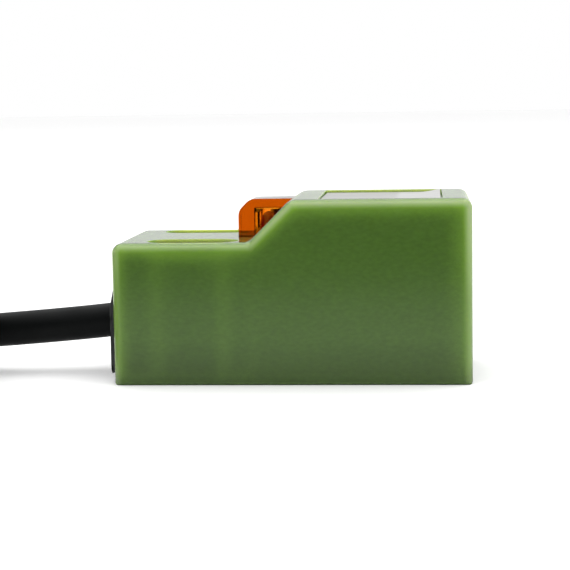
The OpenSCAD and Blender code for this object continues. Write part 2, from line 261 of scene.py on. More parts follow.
def bevel_edges(obj, width, weight_of, segments):
    """Rounds edges by width times weight_of(middle of the edge), from 0 to 1."""
    mesh = obj.data
    layer = mesh.attributes.new("bevel_weight_edge", "FLOAT", "EDGE")
    for e in mesh.edges:
        a, b = (mesh.vertices[i].co / MM for i in e.vertices)
        layer.data[e.index].value = weight_of((a + b) / 2)
    mod = obj.modifiers.new("round", "BEVEL")
    mod.width = width * MM
    mod.segments = segments
    mod.limit_method = "WEIGHT"
    mod.use_clamp_overlap = False
    return apply_modifiers(obj)


def shade_smooth(obj, angle):
    """Smooth shading across every edge that turns by less than the angle."""
    for p in obj.data.polygons:
        p.use_smooth = True
    obj.data.set_sharp_from_angle(angle=math.radians(angle))


def soften(obj, angle):
    """Smooth shading up to an angle, with flat faces kept flat."""
    shade_smooth(obj, angle)
    mod = obj.modifiers.new("weighted", "WEIGHTED_NORMAL")
    mod.keep_sharp = True
    mod.weight = 80
    return obj


def place(obj, slot, *replaced):
    """The piece rides on the body, takes a material slot and stands for CAD nodes."""
    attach(obj, ROOT)
    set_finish(obj, slot)
    if replaced:
        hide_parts(*replaced)
    return obj


def sweep(name, path, radius, sides=14, hollow_end=False):
    """A round tube along a path of points in millimetres, closed at both ends.

    A hollow end has a shallow dish, as a sheath has round the cores that leave it.
    """
    pts = [Vector(p) for p in path]
    tangents = []
    for i, p in enumerate(pts):
        tangents.append((pts[min(i + 1, len(pts) - 1)] - pts[max(i - 1, 0)]).normalized())
    side = tangents[0].cross(Vector((0, 0, 1))).normalized()
    loops = []
    for p, t in zip(pts, tangents):
        side = (side - t * side.dot(t)).normalized()
        up = t.cross(side)
        loops.append([p + radius * (math.cos(a) * side + math.sin(a) * up)
                      for a in [2 * math.pi * k / sides for k in range(sides)]])
    if hollow_end:
        for share, back in ((0.86, 0), (0.82, 0.9)):
            loops.append([pts[-1] + (q - pts[-1]) * share - tangents[-1] * back
                          for q in loops[len(pts) - 1]])
    return loft(name, loops)


def smooth_route(points, per=6):
    """A Catmull-Rom curve through the route's points."""
    pts = [Vector(p) for p in points]
    ends = [2 * pts[0] - pts[1]] + pts + [2 * pts[-1] - pts[-2]]
    out = []
    for i in range(1, len(ends) - 2):
        a, b, c, d = ends[i - 1:i + 3]
        for k in range(per):
            t = k / per
            out.append(0.5 * (2 * b + (c - a) * t + (2 * a - 5 * b + 4 * c - d) * t ** 2
                              + (3 * b - a - 3 * c + d) * t ** 3))
    return out + [pts[-1]]


def ease(t):
    """From 0 to 1, slow at both ends."""
    t = min(1, max(0, t))
    return t * t * (3 - 2 * t)


def bell(t, flat, fade):
    """1 within flat of zero, falling smoothly to 0 over fade."""
    return ease((flat + fade - abs(t)) / fade)


# ---------------------------------------------------------------- the cable

CORD_ROUTE = [
    (0, -17.75, 5.4), (0, -18.5, 5.4), (0, -21, 5.14), (0, -25, 4.78), (-0.1, -29, 4.45),
    (-0.4, -33, 4.1), (-1, -36, 3.6), (-1.8, -39, 2.8), (-2.7, -42, 2.1), (-3.5, -45, 1.8),
    (-3.9, -48, 1.75), (-4, -51, 1.75),
]
JACKET_END = Vector((4.2, -84, 1.75))
INWARD_FROM_Y = -68     # where the last run leaves its lane for the middle of the hank
INWARD_OVER = 15
TIE_MID_Y = (TIE_LOW.y + TIE_HIGH.y) / 2
TIE_HALF_W = (TIE_HIGH.y - TIE_LOW.y) / 2
TIE_T = 0.4
HUMP = 1.5          # how far the turns rise over the incoming cable


def layer_z(layer):
    """Height of the middle of the cable in a layer of the hank."""
    return CABLE_R + layer * CABLE_D


def squeezed(p):
    """A point of the hank, lifted over the tie that passes under the bundle."""
    if p.x > HANK_X:
        return p
    lift = TIE_T * (1 - (p.z - CABLE_R) / (layer_z(HANK_LAYERS - 1) - CABLE_R))
    return p + Vector((0, 0, lift * bell(p.y - TIE_MID_Y, TIE_HALF_W + 0.4, 5)))


def run_down(radius, z, first_y=None, steps=14):
    """Along the straight side at -X, away from the sensor."""
    start = HANK_NEAR_Y if first_y is None else first_y
    return [Vector((HANK_X - radius, start + (HANK_FAR_Y - start) * k / steps, z))
            for k in range(steps)]


def run_up(radius, z, steps=12):
    """Along the straight side at +X, back towards the sensor."""
    return [Vector((HANK_X + radius, HANK_FAR_Y + (HANK_NEAR_Y - HANK_FAR_Y) * k / steps, z))
            for k in range(steps)]


def far_bend(radius_at, z_at, steps=18):
    """Round the far end, with the radius and height given for each share of the bend."""
    out = []
    for k in range(steps):
        t = k / steps
        a = math.pi * (1 + t)
        out.append(Vector((HANK_X + radius_at(t) * math.cos(a),
                           HANK_FAR_Y + radius_at(t) * math.sin(a), z_at(t))))
    return out


def near_bend(radius, z_at, steps=20):
    """Round the near end."""
    out = []
    for k in range(steps):
        t = k / steps
        a = math.pi * t
        out.append(Vector((HANK_X + radius * math.cos(a), HANK_NEAR_Y + radius * math.sin(a),
                           z_at(t))))
    return out


def hank_path():
    """The turns: up the outer lane layer by layer, a step inwards, down the inner lane."""
    path = []
    top = HANK_LAYERS - 1
    for layer in range(top):
        z = layer_z(layer)
        path += run_down(HANK_OUTER, z, CORD_ROUTE[-1][1] if layer == 0 else None)
        path += far_bend(lambda t: HANK_OUTER, lambda t: z)
        path += run_up(HANK_OUTER, z)
        path += near_bend(HANK_OUTER, lambda t: z + CABLE_D * ease((t - 0.1) / 0.45)
                          + HUMP * bell(t - 0.8, 0.03, 0.33))
    path += run_down(HANK_OUTER, layer_z(top))
    path += far_bend(lambda t: HANK_OUTER - CABLE_D * ease((t - 0.5) / 0.5),
                     lambda t: layer_z(top))
    path += run_up(HANK_BEND, layer_z(top))
    path += near_bend(HANK_BEND, lambda t: layer_z(top))
    for layer in range(top, 0, -1):
        z = layer_z(layer)
        path += run_down(HANK_BEND, z)
        path += far_bend(lambda t: HANK_BEND, lambda t: z - CABLE_D * ease((t - 0.05) / 0.5))
        path += run_up(HANK_BEND, z - CABLE_D)
        path += near_bend(HANK_BEND, lambda t: z - CABLE_D)
    last = run_down(HANK_BEND, CABLE_R, steps=18)
    inward = JACKET_END.x - (HANK_X - HANK_BEND)
    for p in last:
        p.x += inward * ease((INWARD_FROM_Y - p.y) / INWARD_OVER)
    path += last + [JACKET_END.copy()]
    return [squeezed(p) for p in path]


def cable_path():
    return smooth_route(CORD_ROUTE)[:-1] + hank_path()


# The three cores: place in the jacket's end, and how wide each turns round the hank's far end
CORE_SIDE = (-0.9, 0, 0.9)
CORE_LIFT = (-0.5, 0.6, -0.5)
CORE_REACH = (7.6, 6.2, 4.8)
CORE_TIP = 19           # how far past the bend the first core ends; each next one is 1 longer


def core_path(i):
    """A core from the end of the jacket, round the far end of the hank, inside it."""
    reach = CORE_REACH[i]
    start = JACKET_END + Vector((CORE_SIDE[i], 0, CORE_LIFT[i]))
    z = CORE_D / 2
    tip_y = HANK_FAR_Y + CORE_TIP + i
    route = [start + Vector((0, 1.2, 0)), start + Vector((0, -0.4, 0))]
    for degrees in range(195, 346, 15):
        a = math.radians(degrees)
        route.append(Vector((HANK_X + reach * math.cos(a),
                             HANK_FAR_Y + reach * math.sin(a) - 0.8, z)))
    route += [Vector((HANK_X + reach, tip_y - 10, z)), Vector((HANK_X + reach, tip_y, z))]
    return [Vector((p.x, p.y, max(p.z, z))) for p in smooth_route(route)]


def strand_tip(name, at, length=5.0, strand_r=0.15, ring_r=0.29, ring=6, steps=14):
    """A bare end: a strand and a ring of others twisted round it, as one mesh."""
    parts = []
    for s in range(ring + 1):
        line = []
        for k in range(steps + 1):
            t = k / steps
            a = 2 * math.pi * (s / ring + 0.9 * t)
            r = 0 if s == ring else ring_r * (1 - 0.18 * t)
            line.append(at + Vector((r * math.cos(a), length * t, r * math.sin(a))))
        parts.append(sweep(name + "_s", line, strand_r, sides=8))
    return join(name, parts)


def join(name, parts):
    """Several objects as one mesh."""
    bm = bmesh.new()
    for part in parts:
        bm.from_mesh(part.data)
        bpy.data.objects.remove(part)
    mesh = bpy.data.meshes.new(name)
    bm.to_mesh(mesh)
    bm.free()
    return link(name, mesh)


def make_cable():
    """The jacket from the rear plate to the end of the hank, and the tie round it."""
    path = cable_path()
    cable = sweep("cable", path, CABLE_R, sides=20, hollow_end=True)
    shade_smooth(cable, 50)
    place(cable, "cable_black", "cable_run", "cable_hank", "cable_tail")
    tie = make_tie()
    return [cable, tie]


def make_core(i, colour):
    """One of the three cores, with its tinned tip. The first tip stands for all three."""
    line = core_path(i)
    core = sweep("core_" + colour, line, CORE_D / 2, hollow_end=True)
    shade_smooth(core, 50)
    place(core, "core_" + colour, "tail_" + colour)
    tip = strand_tip("tip_" + colour, line[-1] - Vector((0, 0.6, 0)))
    shade_smooth(tip, 180)
    place(tip, "tinned_metal", *(["tinned_tips"] if i == 0 else []))
    return [core, tip]


def make_tie():
    """A coated wire tie: a flat band round the bundle and a twisted tail on top of it."""
    mid_x = (TIE_LOW.x + TIE_HIGH.x) / 2
    half_x = (TIE_HIGH.x - TIE_LOW.x) / 2
    top = HANK_HIGH.z + TIE_T
    outline = round_rect(half_x, top / 2, CABLE_R + TIE_T)
    inner = round_rect(half_x - TIE_T, top / 2 - TIE_T, CABLE_R)
    section = [(-1, 0.15), (-0.85, 0.0), (0.85, 0.0), (1, 0.15), (1, 0.8), (0.45, 0.72),
               (0.18, 1), (-0.18, 1), (-0.45, 0.72), (-1, 0.8)]
    loops = []
    for (ox, oz), (ix, iz) in zip(outline, inner):
        loops.append([(mid_x + ix + (ox - ix) * t, TIE_MID_Y + w * TIE_HALF_W,
                       top / 2 + iz + (oz - iz) * t) for w, t in section])
    band = loft("band", loops + [loops[0]], ends=False)
    start = Vector((mid_x, TIE_MID_Y - 0.4, top + 0.85))
    tie = join("cable_tie", [band, tie_tail(start, 0), tie_tail(start, math.pi)])
    soften(tie, 40)
    return place(tie, "tie_white", "hank_tie")


def tie_tail(start, phase, length=10, turns=2.6, reach=0.42, half_t=0.16, steps=40):
    """One of the two flat ends of the tie, which twist round each other."""
    loops = []
    for k in range(steps + 1):
        t = k / steps
        a = phase + 2 * math.pi * turns * t
        out = Vector((math.cos(a), 0, math.sin(a)))
        wide = Vector((-math.sin(a), 0, math.cos(a)))
        centre = start + out * reach - Vector((0, length * t, 0))
        half = 0.75 if 0.02 < t < 0.98 else 0.6
        loops.append([centre + out * u * half_t + wide * v * half
                      for u, v in ((-1, -1), (1, -1), (1.9, 0), (1, 1), (-1, 1))])
    return loft("tail", loops)


CORD_PIECES = make_cable()
for place_in_jacket, core_colour in enumerate(("brown", "blue", "black")):
    CORD_PIECES += make_core(place_in_jacket, core_colour)


# ---------------------------------------------------------------- the case

def case_weight(mid):
    """Rounding of each edge of the plain case, as a share of EDGE_R."""
    if mid.z < 0.01:
        return BASE_R / EDGE_R
    if abs(mid.y - FOOT_Y) < 0.01 and abs(mid.z - DECK_Z) < 0.01:
        return 0.5
    if abs(mid.y - CREST_Y) < 0.01 and abs(mid.z - TOP_Z) < 0.01:
        return 0.6
    return 1.0


# The shallow pit that the moulding gate left: its axis, and its outline as (radius, height)
GATE_AT = Vector((-1.3, 0.85, 0))
GATE_MARK = [(0, TOP_Z - 0.12), (0.1, TOP_Z - 0.11), (0.17, TOP_Z - 0.05), (0.2, TOP_Z + 0.2),
             (0, TOP_Z + 0.3)]


def make_case():
    """The moulded shell: rounded outside, slots, window opening, label recess and cavity."""
    outline = [(REAR_Y, 0), (FRONT_Y, 0), (FRONT_Y, TOP_Z), (CREST_Y, TOP_Z),
               (FOOT_Y, DECK_Z), (REAR_Y, DECK_Z)]
    case = prism("case", outline, HALF_W)
    bevel_edges(case, EDGE_R, case_weight, segments=6)
    window = block("opening", (-LENS_HALF - FIT, LENS_Y0 - FIT, LENS_LOW.z),
                   (LENS_HALF + FIT, LENS_Y1 + FIT, TOP_Z + 1))
    gate = lathe("gate", GATE_AT, GATE_MARK, sides=24)
    combine(case, slots_and_recess() + cavity() + [window, rear_recess(), gate])
    soften(case, 32)
    return place(case, "case_green", "housing")


def slots_and_recess():
    """Cutters for the two screw slots and the shallow recess of the label."""
    cutters = [opening("slot", (side * SLOT_X, SLOT_Y), SLOT_HALF_W, SLOT_HALF_L, SLOT_HALF_W,
                       0, DECK_Z, rims=(SLOT_RIM, SLOT_RIM)) for side in (-1, 1)]
    y0 = LABEL_LOW.y + LABEL_SHIFT - 0.05
    y1 = LABEL_HIGH.y + LABEL_SHIFT + 0.15
    cutters.append(opening("recess", (0, (y0 + y1) / 2), LABEL_HIGH.x + 0.2, (y1 - y0) / 2, 0.3,
                           LABEL_LOW.z, TOP_Z, rims=(0, 0.06), past=(0, 1)))
    return cutters


def cavity():
    """Cutters for the chamber, the channel behind it, and the rebate of the cover."""
    slope_in = WALL * math.tan(math.atan2(TOP_Z - DECK_Z, CREST_Y - FOOT_Y) / 2)
    low = COVER_HIGH.z - 0.05
    ceiling, roof = DECK_Z - WALL, TOP_Z - WALL
    inside_w = HALF_W - WALL
    join_y = CHAMBER_REAR_Y + 0.15
    chamber = [(CHAMBER_REAR_Y, low), (CHAMBER_FRONT_Y, low), (CHAMBER_FRONT_Y, roof),
               (CREST_Y + slope_in, roof), (FOOT_Y + slope_in, ceiling),
               (CHAMBER_REAR_Y, ceiling)]
    return [prism("chamber", chamber, inside_w),
            block("channel", (-CHANNEL_HALF, CHANNEL_REAR_Y, low),
                  (CHANNEL_HALF, join_y, ceiling)),
            block("rebate", (-CHANNEL_HALF - REBATE, CHANNEL_REAR_Y - REBATE, -1),
                  (CHANNEL_HALF + REBATE, join_y, COVER_HIGH.z)),
            block("rebate_wide", (-inside_w - REBATE, CHAMBER_REAR_Y - REBATE, -1),
                  (inside_w + REBATE, CHAMBER_FRONT_Y + REBATE, COVER_HIGH.z))]


def rear_recess():
    """Room in the rear wall for the plug of the black plate."""
    half_x = PLATE_HIGH.x - 0.6
    z0, z1 = PLATE_LOW.z + 0.6, PLATE_HIGH.z - 0.6
    outline = round_rect(half_x, (z1 - z0) / 2, 0.8)
    loops = [[(x, y, (z0 + z1) / 2 + z) for x, z in outline]
             for y in (REAR_Y - 1, CHANNEL_REAR_Y + 0.05)]
    return loft("rear_recess", loops)


def rounded(outline, radii, steps=8):
    """An outline with each corner replaced by an arc of its own radius."""
    points = [Vector(p) for p in outline]
    out = []
    for i, here in enumerate(points):
        a = (points[i - 1] - here).normalized()
        b = (points[(i + 1) % len(points)] - here).normalized()
        r = radii[i]
        if not r:
            out.append(here)
            continue
        half = a.angle(b) / 2
        centre = here + (a + b).normalized() * r / math.sin(half)
        start = here + a * r / math.tan(half) - centre
        end = here + b * r / math.tan(half) - centre
        turn = math.atan2(start.cross(end), start.dot(end))
        for k in range(steps + 1):
            w = turn * k / steps
            out.append(centre + Matrix.Rotation(w, 2) @ start)
    return out


def make_lens():
    """The amber window: a block with a slanted, rounded corner, bored for the lamp."""
    z0 = LENS_LOW.z
    outline = rounded([(LENS_Y0, z0), (LENS_Y1, z0), (LENS_Y1, LENS_TOP),
                       (LENS_Y0 + LENS_CUT, LENS_TOP), (LENS_Y0, LENS_TOP - LENS_CUT)],
                      [0, 0, 0, LENS_ROUND, LENS_ROUND])
    lens = prism("window", outline, LENS_HALF)
    bevel_edges(lens, 0.03, lens_weight, segments=2)
    flange = block("flange", LENS_LOW, (LENS_HIGH.x, LENS_HIGH.y, DECK_Z - WALL))
    combine(lens, [flange], "UNION")
    combine(lens, [lamp_bore()])
    soften(lens, 32)
    return place(lens, "lens_amber", "indicator_lens")


def lens_weight(mid):
    """Only the rims of the two side faces are rounded."""
    return 1.0 if abs(abs(mid.x) - LENS_HALF) < 0.01 else 0.0


def lamp_bore():
    """The blind hole for the lamp, with a small round at its end."""
    top = LENS_TOP - LENS_ROOF
    r = LAMP_R + FIT
    corner = 0.15
    outline = [(r, LENS_LOW.z - 1), (r, top - corner)]
    outline += [(r - corner * (1 - math.cos(a)), top - corner * (1 - math.sin(a)))
                for a in [math.pi / 2 * k / 5 for k in range(1, 6)]]
    return lathe("bore", Vector((0, LAMP_Y, 0)), [(0, LENS_LOW.z - 1)] + outline + [(0, top)],
                 sides=64)


def make_led():
    """A 3 mm lamp: dome, body and flange turned on one axis."""
    axis = Vector((0, LAMP_Y, 0))
    r = LAMP_R
    base, dome = LED_LOW.z, LED_HIGH.z - r
    outline = [(0.0, base), (1.85, base), (1.9, base + 0.05), (1.9, base + 0.9), (1.82, base + 1),
               (1.55, base + 1), (r, base + 1.06)]
    for k in range(13):
        a = math.pi / 2 * k / 12
        outline.append((r * math.cos(a), dome + r * math.sin(a)))
    return place(lathe("lamp", axis, outline), "lamp_red", "status_led")


def lathe(name, axis, outline, sides=48):
    """Points of (radius, z) turned about a vertical axis."""
    loops = []
    for radius, z in outline:
        rr = max(radius, 1e-3)
        loops.append([axis + Vector((rr * math.cos(a), rr * math.sin(a), z))
                      for a in [2 * math.pi * k / sides for k in range(sides)]])
    return soften(loft(name, loops), 40)


def make_label():
    """A blank film label, not quite square in its recess, whose front end has lifted."""
    n, m = 56, 30
    film = 0.12
    lift, lift_from = 0.3, 2.6
    turn = 0.007
    mid_y = (LABEL_LOW.y + LABEL_HIGH.y) / 2 + LABEL_SHIFT
    half_x, half_y = LABEL_HIGH.x - 0.06, (LABEL_HIGH.y - LABEL_LOW.y) / 2 - 0.02
    sheets = []
    for side in (0, 1):
        for j in range(m + 1):
            for i in range(n + 1):
                x, y = half_x * (2 * j / m - 1), half_y * (2 * i / n - 1)
                end = ease((y - half_y + lift_from) / lift_from)
                wave = 0.5 + 0.5 * noise.noise(Vector((x * 0.25, 3.1, 0)))
                rise = lift * end * end * (0.6 + 0.4 * wave)
                rise += 0.012 * noise.noise(Vector((x * 0.5, y * 0.5, 7)))
                sheets.append(Vector((x + turn * y, mid_y + y - turn * x,
                                      LABEL_LOW.z + 0.02 + side * film + rise)))
    label = mesh_object("label", sheets, sheet_faces(n, m))
    soften(label, 40)
    return place(label, "label_white", "rating_label")


def sheet_faces(n, m):
    """Faces of two grids of n by m cells, the second above the first, and of their rim."""
    w = n + 1
    top = (m + 1) * w
    faces = [(a, a + 1, a + w + 1, a + w) for off in (0, top) for j in range(m)
             for a in range(off + j * w, off + j * w + n)]
    ring = (list(range(n)) + [j * w + n for j in range(m)]
            + [m * w + i for i in range(n, 0, -1)] + [j * w for j in range(m, 0, -1)])
    return faces + [(a, b, b + top, a + top) for a, b in zip(ring, ring[1:] + ring[:1])]


def plate_outline(step=0.22):
    """The outline of the plate about its middle, with points close enough to look ragged."""
    base = round_rect(PLATE_HIGH.x, (PLATE_HIGH.z - PLATE_LOW.z) / 2, 1.0, n=10)
    dense = []
    for (ax, az), (bx, bz) in zip(base, base[1:] + base[:1]):
        steps = max(1, int(math.hypot(bx - ax, bz - az) / step))
        dense += [(ax + (bx - ax) * k / steps, az + (bz - az) * k / steps)
                  for k in range(steps)]
    return dense


def make_plate():
    """The black plate on the rear face: thin at the top, with a slightly ragged edge."""
    mid_z = (PLATE_LOW.z + PLATE_HIGH.z) / 2
    dense = plate_outline()
    depth = PLATE_HIGH.y - REAR_Y
    proud = REAR_Y - PLATE_LOW.y
    # Each stage: millimetres into the case or share of the way out, size and raggedness
    stages = [(depth, 0.92, 0.0), (0.02, 0.92, 0.0), (0.0, 1.0, 0.02), (-0.62, 1.0, 0.05),
              (-0.92, 0.99, 0.03), (-1.0, 0.975, 0.0)]
    loops = []
    for out, share, rag in stages:
        loop = []
        for x, z in dense:
            rough = 1 + rag * (noise.noise(Vector((x * 1.3, z * 1.3, out))) - 0.35
                               + 0.5 * noise.noise(Vector((x * 4.1, z * 4.1, out * 3))))
            grow = min(share, share * rough)
            height = mid_z + z * grow
            thin = 1 - 0.62 * ease((height - 7.0) / 2.5)
            y = REAR_Y + (out if out > 0 else out * proud * thin)
            loop.append((x * grow, y, height))
        loops.append(loop)
    plate = loft("plate", loops)
    bore = sweep("bore", [(0, REAR_Y + k, EXIT_Z) for k in (-3, 0, 3)], CABLE_R, sides=40)
    combine(plate, [bore])
    soften(plate, 35)
    return place(plate, "plate_black", "rear_plate")


PIECES = [make_case(), make_lens(), make_led(), make_label(), make_plate()]


# ---------------------------------------------------------------- materials

class Nodes:
    """A small helper that builds one material's node tree."""

    def __init__(self, name):
        self.mat = bpy.data.materials.new(name)
        self.mat.use_nodes = True
        self.tree = self.mat.node_tree
        self.shader = self.tree.nodes["Principled BSDF"]

    def new(self, kind, **values):
        node = self.tree.nodes.new(kind)
        for key, value in values.items():
            setattr(node, key, value)
        return node

    def link(self, a, b):
        self.tree.links.new(a, b)

    def set(self, **values):
        for key, value in values.items():
            self.shader.inputs[key.replace("_", " ")].default_value = value

    def coords(self):
        return self.new("ShaderNodeTexCoord").outputs["Object"]

    def noise(self, scale, detail=3, rough=0.55, stretch=None):
        tex = self.new("ShaderNodeTexNoise")
        tex.inputs["Scale"].default_value = scale
        tex.inputs["Detail"].default_value = detail
        tex.inputs["Roughness"].default_value = rough
        source = self.coords()
        if stretch:
            mapping = self.new("ShaderNodeMapping")
            mapping.inputs["Scale"].default_value = stretch
            self.link(source, mapping.inputs["Vector"])
            source = mapping.outputs["Vector"]
        self.link(source, tex.inputs["Vector"])
        return tex.outputs["Fac"]

    def ramp(self, fac, low, high):
        """From one colour to another over the middle of a noise."""
        node = self.new("ShaderNodeValToRGB")
        for end, at, colour in zip(node.color_ramp.elements, (0.3, 0.7), (low, high)):
            end.position = at
            end.color = (*colour, 1)
        self.link(fac, node.inputs["Fac"])
        return node.outputs["Color"]

    def tone(self, fac, colour, low=0.97, high=1.03):
        """One colour between two brightnesses."""
        return self.ramp(fac, shade(colour, low), shade(colour, high))

    def span(self, fac, low, high, low_at=0.3, high_at=0.7):
        """From low to high as fac goes from low_at to high_at, and no further."""
        node = self.new("ShaderNodeMapRange")
        for key, value in (("From Min", low_at), ("From Max", high_at), ("To Min", low),
                           ("To Max", high)):
            node.inputs[key].default_value = value
        self.link(fac, node.inputs["Value"])
        return node.outputs["Result"]

    def mix(self, share, low, high):
        """From one colour to the other as share goes from 0 to 1."""
        node = self.new("ShaderNodeMix", data_type="RGBA")
        for socket, source in ((node.inputs[0], share), (node.inputs[6], low),
                               (node.inputs[7], high)):
            self.link(source, socket)
        return node.outputs[2]

    def axis(self, vector, name):
        parts = self.new("ShaderNodeSeparateXYZ")
        self.link(vector, parts.inputs["Vector"])
        return parts.outputs[name]

    def times(self, a, b):
        node = self.new("ShaderNodeMath", operation="MULTIPLY")
        self.link(a, node.inputs[0])
        self.link(b, node.inputs[1])
        return node.outputs["Value"]

    def edge_share(self, reach):
        """0 on the flats of a boxy shape, rising to 1 on its upper and upright edges.

        It starts to rise about reach millimetres from the edge.
        """
        round_off = self.new("ShaderNodeBevel", samples=8)
        round_off.inputs["Radius"].default_value = reach * MM
        square = self.new("ShaderNodeVectorMath", operation="MULTIPLY")
        self.link(round_off.outputs["Normal"], square.inputs[0])
        self.link(round_off.outputs["Normal"], square.inputs[1])
        fourth = self.new("ShaderNodeVectorMath", operation="DOT_PRODUCT")
        self.link(square.outputs["Vector"], fourth.inputs[0])
        self.link(square.outputs["Vector"], fourth.inputs[1])
        upper = self.span(self.axis(round_off.outputs["Normal"], "Z"), 0, 1, -0.5, -0.15)
        return self.times(self.span(fourth.outputs["Value"], 0, 1, 1.0, 0.5), upper)

    def bump(self, *layers):
        """Layers of (height, strength, distance in mm), the first the coarsest."""
        normal = None
        for height, strength, distance in layers:
            node = self.new("ShaderNodeBump")
            node.inputs["Strength"].default_value = strength
            node.inputs["Distance"].default_value = distance * MM
            self.link(height, node.inputs["Height"])
            if normal:
                self.link(normal, node.inputs["Normal"])
            normal = node.outputs["Normal"]
        self.link(normal, self.shader.inputs["Normal"])


def shade(colour, share):
    """A colour made darker or lighter."""
    return tuple(c * share for c in colour)


def plastic(name, colour, rough=0.4, grain=2500, bump=0.05, vary=0.12, **extra):
    """Moulded plastic: slightly uneven colour and gloss and a fine moulded grain."""
    m = Nodes(name)
    m.set(IOR=1.5, **extra)
    patch = m.noise(160, 4)
    m.link(m.tone(patch, colour, 1 - vary, 1 + vary), m.shader.inputs["Base Color"])
    fine = m.noise(grain, 2)
    m.link(m.span(m.noise(420, 3), rough * 0.9, min(1, rough * 1.12)),
           m.shader.inputs["Roughness"])
    m.bump((patch, 0.04, 0.05), (fine, bump, 0.02))
    return m


# The green plastic: its plain colour, a painted glow near an edge, a painted pale highlight right
# on an edge, and a painted glow in the slots
BODY_GREEN = (0.059, 0.118, 0.019)
PAINTED_GLOW_GREEN = (0.195, 0.36, 0.045)
PAINTED_RIM_HIGHLIGHT = (0.27, 0.35, 0.165)
PAINTED_SLOT_GLOW = (0.3, 0.36, 0.15)
GLOW_REACH = 3.2
RIM_HIGHLIGHT_REACH = 0.3


def side_share(m, normal):
    """1 on the upright sides of the case, 0 on its top, deck and slope."""
    sides = m.span(m.axis(normal, "Z"), 1, 0, 0.7, 1.0)
    slope = m.span(m.times(m.axis(normal, "Y"), m.axis(normal, "Z")), 1, 0, -0.2, -0.45)
    return m.times(sides, slope)


def slot_glow_share(m, normal, height):
    """1 high up on the walls that face across X inside the slots and openings, where a painted glow
    goes.
    """
    across = m.axis(m.coords(), "X")
    facing = m.axis(normal, "X")
    # Squares count both sides alike
    inner = m.span(m.times(across, across), 1, 0, (8.4 * MM) ** 2, (8.7 * MM) ** 2)
    wall = m.span(m.times(facing, facing), 0, 1, 0.4, 0.6)
    return m.times(m.times(inner, wall), m.span(height, 0, 1, 9.5 * MM, 10.5 * MM))


def case_green():
    """Waxy green plastic, with painted glow near the upper edges and in the slots, a painted
    highlight on the rims and painted shade towards the bottom.
    """
    m = Nodes("case_green")
    m.set(IOR=1.5, Subsurface_Weight=1.0, Subsurface_Radius=(1.0, 1.05, 0.4),
          Subsurface_Scale=1.5 * MM, Specular_Tint=(0.68, 0.68, 0.62, 1))
    patch = m.noise(160, 4)
    grain = m.noise(2800, 2, stretch=(1, 0.6, 1.2))
    normal = m.new("ShaderNodeNewGeometry").outputs["Normal"]
    height = m.axis(m.coords(), "Z")
    # Painted shade: the green is darker in the lowest few millimetres, towards the floor
    colour = m.mix(m.span(height, 0, 1, 1.5 * MM, 4.5 * MM),
                   m.tone(grain, BODY_GREEN, 0.62, 0.74), m.tone(grain, BODY_GREEN, 0.9, 1.1))
    # The painted glow and the painted highlight below are stronger higher up the sides
    higher = m.span(height, 0.58, 1, 8 * MM, 17 * MM)
    outer = m.times(side_share(m, normal), higher)
    # Painted glow: a lighter green near the upper and upright edges of the sides
    colour = m.mix(m.times(m.edge_share(GLOW_REACH), outer), colour, m.tone(patch, PAINTED_GLOW_GREEN))
    # Painted highlight: a pale green right on the rounded upper edges
    colour = m.mix(m.times(m.edge_share(RIM_HIGHLIGHT_REACH), m.times(outer, higher)), colour,
                   m.tone(patch, PAINTED_RIM_HIGHLIGHT))
    # Painted glow: a paler green high on the walls inside the slots
    colour = m.mix(slot_glow_share(m, normal, height), colour, m.tone(patch, PAINTED_SLOT_GLOW))
    m.link(colour, m.shader.inputs["Base Color"])
    m.link(m.span(m.noise(420, 3), 0.165, 0.185), m.shader.inputs["Roughness"])
    m.bump((patch, 0.01, 0.02), (m.noise(1800, 2), 0.03, 0.02))
    return m.mat


def amber():
    """Clear amber plastic that darkens with the depth of material behind it."""
    m = Nodes("lens_amber")
    m.set(IOR=1.58, Transmission_Weight=1.0, Roughness=0.03, Base_Color=(1.0, 0.6, 0.28, 1))
    absorb = m.new("ShaderNodeVolumeAbsorption")
    absorb.inputs["Color"].default_value = (0.882, 0.72, 0.0, 1)
    absorb.inputs["Density"].default_value = 2000
    m.link(absorb.outputs["Volume"], m.tree.nodes["Material Output"].inputs["Volume"])
    m.bump((m.noise(900, 2), 0.03, 0.02))
    return m.mat


def lamp_red():
    """The tinted, half clear resin of the lamp."""
    m = Nodes("lamp_red")
    m.set(IOR=1.54, Transmission_Weight=0.55, Roughness=0.12)
    patch = m.noise(700, 2)
    m.link(m.ramp(patch, (0.34, 0.012, 0.008), (0.48, 0.02, 0.01)),
           m.shader.inputs["Base Color"])
    m.bump((patch, 0.02, 0.02))
    return m.mat


# The grey coat on the label: where it ends, how soft its end is, and how far from square
COAT_END = 10.2
COAT_FADE = 0.5
COAT_SLANT = 0.02


def label_white():
    """A white film whose rear part carries a slightly greyer coat, cut not quite square."""
    m = Nodes("label_white")
    m.set(IOR=1.5)
    along = m.axis(m.coords(), "Y")
    across = m.axis(m.coords(), "X")
    slant = m.new("ShaderNodeMath", operation="MULTIPLY_ADD")
    m.link(across, slant.inputs[0])
    slant.inputs[1].default_value = COAT_SLANT
    m.link(along, slant.inputs[2])
    coat = m.span(slant.outputs["Value"], 1, 0, COAT_END * MM, (COAT_END + COAT_FADE) * MM)
    streak = m.noise(260, 4, stretch=(3, 0.6, 1))
    m.link(m.mix(coat, m.ramp(streak, (0.36, 0.36, 0.355), (0.4, 0.4, 0.395)),
                 m.ramp(streak, (0.26, 0.26, 0.252), (0.32, 0.32, 0.31))),
           m.shader.inputs["Base Color"])
    m.link(m.span(m.noise(500, 3), 0.36, 0.46), m.shader.inputs["Roughness"])
    m.bump((streak, 0.03, 0.03))
    return m.mat


def simple(name, colour, rough, metallic=0.0, **extra):
    """The material of a part that needs no more than its colour, gloss and grain."""
    m = plastic(name, colour, rough=rough, **extra)
    m.set(Metallic=metallic)
    return m.mat


